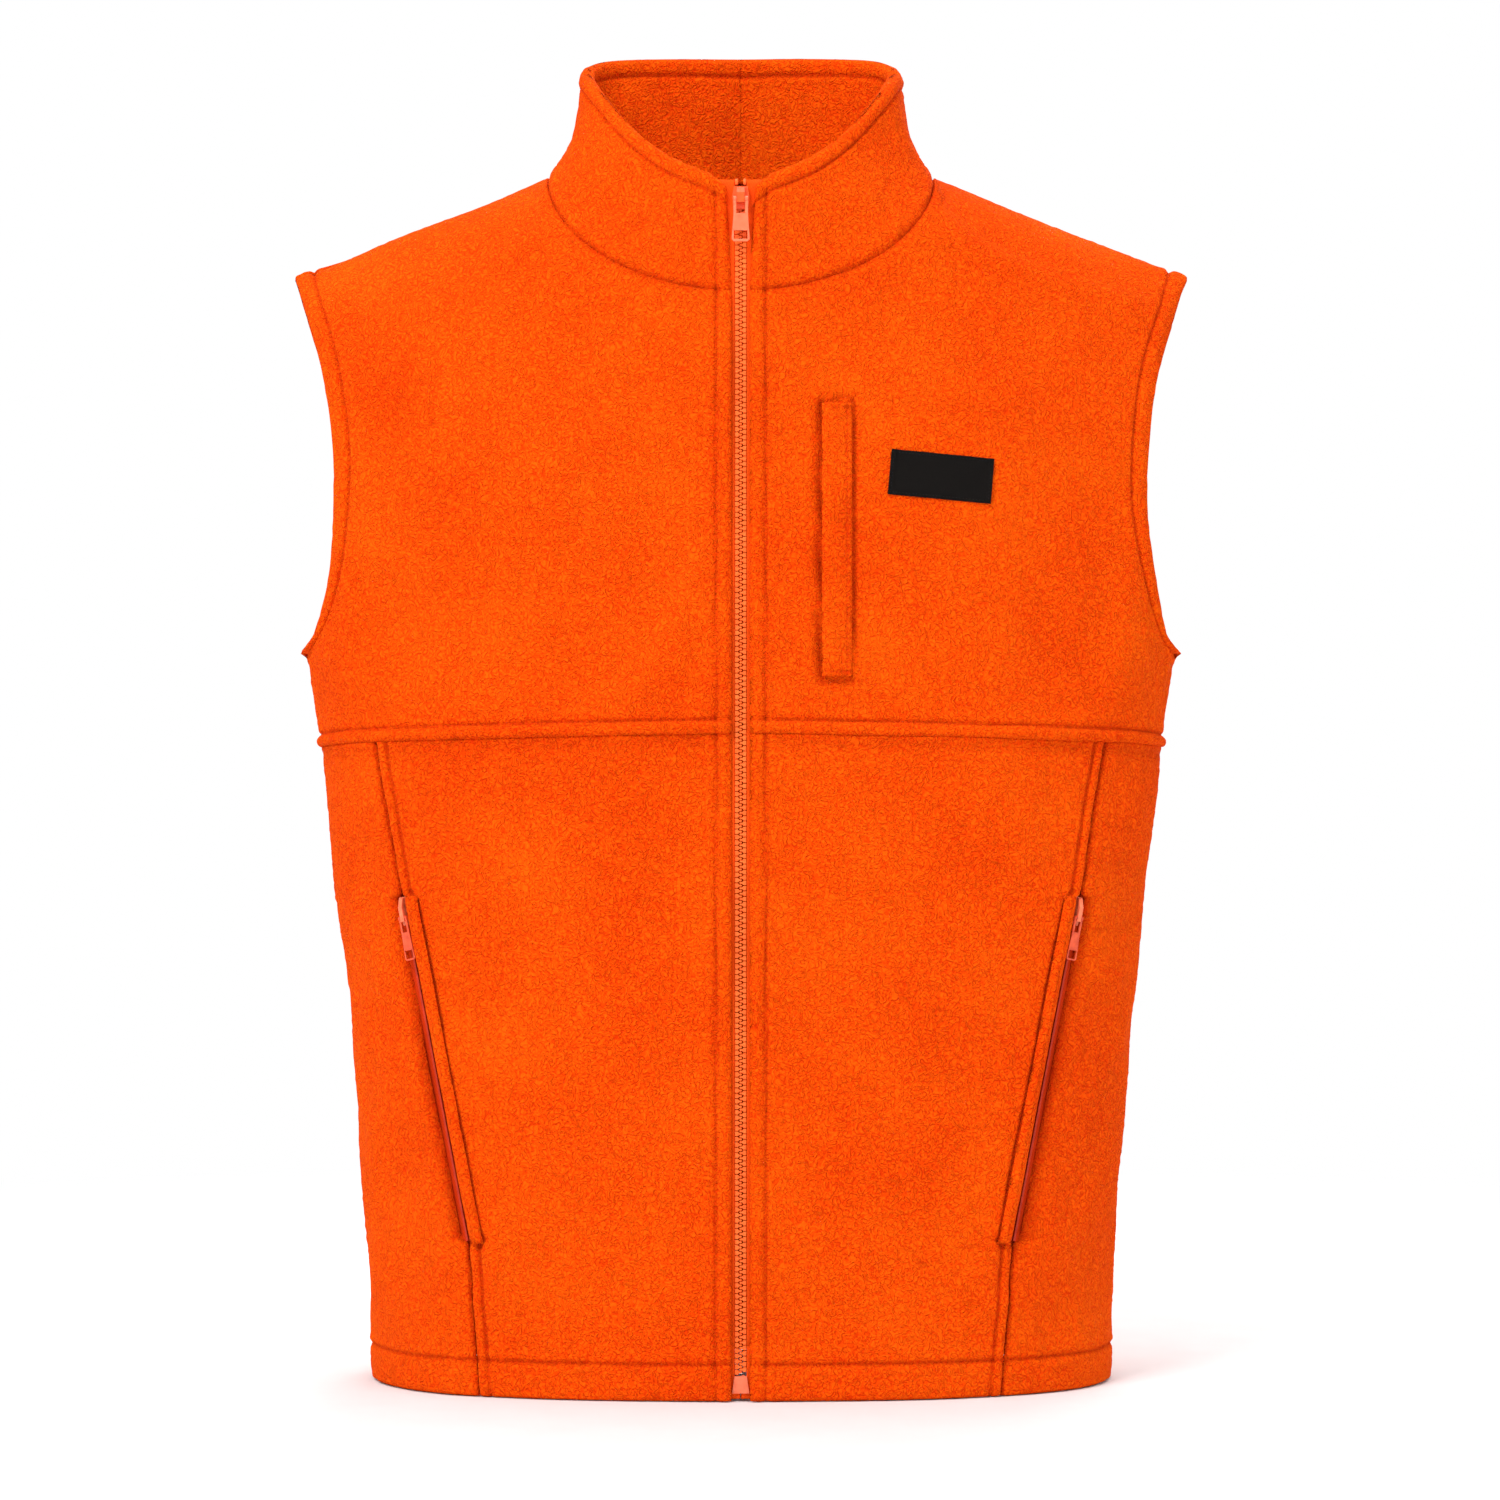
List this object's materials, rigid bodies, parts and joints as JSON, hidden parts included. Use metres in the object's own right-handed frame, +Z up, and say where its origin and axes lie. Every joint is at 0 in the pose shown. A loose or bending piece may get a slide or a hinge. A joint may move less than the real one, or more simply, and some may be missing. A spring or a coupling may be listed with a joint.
{
  "type": "fleece zip vest",
  "caption": "Sleeveless stand-collar fleece vest with full-length front zip, zipped hand pockets, open chest pocket and blank label.",
  "frame": {"origin": "on the ground under the middle of the body, at hem level", "axes": "+Z up from hem to collar, the zipped front faces -Y, +X is the wearer's left"},
  "size_m": [0.518, 0.2327, 0.767],
  "materials": {
    "fleece": "matte wormy pile",
    "fleece_inner": "matte brushed back",
    "pocket_mesh": "thin knit",
    "zip_tape": "woven herringbone",
    "black_tape": "woven",
    "label": "woven satin",
    "zip_plastic": "moulded",
    "slider_paint": "satin enamel",
    "pull_plastic": "moulded satin"
  },
  "bodies": {
    "torso": {"right_front_yoke": "fleece", "left_front_yoke": "fleece", "right_lower_front": "fleece", "left_lower_front": "fleece", "right_side_front": "fleece", "left_side_front": "fleece", "right_collar": "fleece", "left_collar": "fleece", "right_collar_lining": "fleece_inner", "left_collar_lining": "fleece_inner", "right_armhole_facing": "fleece_inner", "left_armhole_facing": "fleece_inner", "right_pocket_welt": "fleece", "left_pocket_welt": "fleece", "right_pocket_bag": "pocket_mesh", "left_pocket_bag": "pocket_mesh", "right_pocket_tape": "zip_tape", "left_pocket_tape": "zip_tape", "right_pocket_coil": "zip_plastic", "left_pocket_coil": "zip_plastic", "right_zip_tape_lower": "zip_tape", "left_zip_tape_lower": "zip_tape", "right_zip_teeth_lower": "zip_plastic", "left_zip_teeth_lower": "zip_plastic", "back_yoke": "fleece", "back_lower": "fleece", "hem_facing": "fleece_inner", "chest_pocket_welt": "fleece", "chest_pocket_bag": "pocket_mesh", "label_patch": "label", "hanger_loop": "black_tape", "neck_tape": "black_tape", "insertion_pin": "pull_plastic", "retainer_box": "pull_plastic"},
    "right_lapel": {"right_zip_tape": "zip_tape", "right_zip_teeth": "zip_plastic", "right_top_stop": "zip_plastic", "right_front_facing": "fleece_inner"},
    "left_lapel": {"left_zip_tape": "zip_tape", "left_zip_teeth": "zip_plastic", "left_top_stop": "zip_plastic", "left_front_facing": "fleece_inner"},
    "main_slider": {"main_slider": "slider_paint", "main_slider_crown": "slider_paint"},
    "main_pull": {"main_pull": "pull_plastic"},
    "right_pocket_slider": {"right_pocket_slider": "slider_paint"},
    "right_pocket_pull": {"right_pocket_pull": "pull_plastic"},
    "left_pocket_slider": {"left_pocket_slider": "slider_paint"},
    "left_pocket_pull": {"left_pocket_pull": "pull_plastic"}
  },
  "joints": [
    {"name": "main_slide", "type": "slide", "parent": "torso", "child": "main_slider", "axis": [0, -0.0351, -0.9994], "range_m": [0, 0.65], "deforming": ["right_zip_tape", "left_zip_tape", "right_zip_teeth", "left_zip_teeth", "right_zip_tape_lower", "left_zip_tape_lower", "right_zip_teeth_lower", "left_zip_teeth_lower"]},
    {"name": "main_pull_hinge", "type": "hinge", "parent": "main_slider", "child": "main_pull", "pos_m": [0, -0.09389, 0.66928], "axis": [-1, 0, 0], "range_deg": [0, 150]},
    {"name": "right_lapel_open", "type": "hinge", "parent": "torso", "child": "right_lapel", "pos_m": [-0.006, -0.1115, 0.024], "axis": [0.1277, -0.0735, -0.9891], "range_deg": [0, 100.5], "deforming": ["right_zip_tape", "right_zip_teeth", "right_front_facing", "right_front_yoke", "right_lower_front", "right_side_front", "right_collar", "right_collar_lining", "right_zip_tape_lower", "right_zip_teeth_lower", "right_armhole_facing"]},
    {"name": "left_lapel_open", "type": "hinge", "parent": "torso", "child": "left_lapel", "pos_m": [0.006, -0.1115, 0.024], "axis": [0.1277, 0.0735, 0.9891], "range_deg": [0, 100.5], "deforming": ["left_zip_tape", "left_zip_teeth", "left_front_facing", "left_front_yoke", "left_lower_front", "left_side_front", "left_collar", "left_collar_lining", "left_zip_tape_lower", "left_zip_teeth_lower", "left_armhole_facing", "chest_pocket_welt", "chest_pocket_bag", "label_patch"]},
    {"name": "right_pocket_slide", "type": "slide", "parent": "torso", "child": "right_pocket_slider", "axis": [0.1933, -0.0911, -0.9769], "range_m": [0, 0.176]},
    {"name": "right_pocket_pull_hinge", "type": "hinge", "parent": "right_pocket_slider", "child": "right_pocket_pull", "pos_m": [-0.19023, -0.07507, 0.26627], "axis": [-0.8653, 0.4535, -0.2136], "range_deg": [0, 140]},
    {"name": "left_pocket_slide", "type": "slide", "parent": "torso", "child": "left_pocket_slider", "axis": [-0.1933, -0.0911, -0.9769], "range_m": [0, 0.176]},
    {"name": "left_pocket_pull_hinge", "type": "hinge", "parent": "left_pocket_slider", "child": "left_pocket_pull", "pos_m": [0.19023, -0.07507, 0.26627], "axis": [-0.8653, -0.4535, 0.2136], "range_deg": [0, 140]}
  ],
  "couplings": [
    {"joint": "right_lapel_open", "follows": "main_slide", "rad_per_m": 2.6851},
    {"joint": "left_lapel_open", "follows": "main_slide", "rad_per_m": 2.6851}
  ]
}
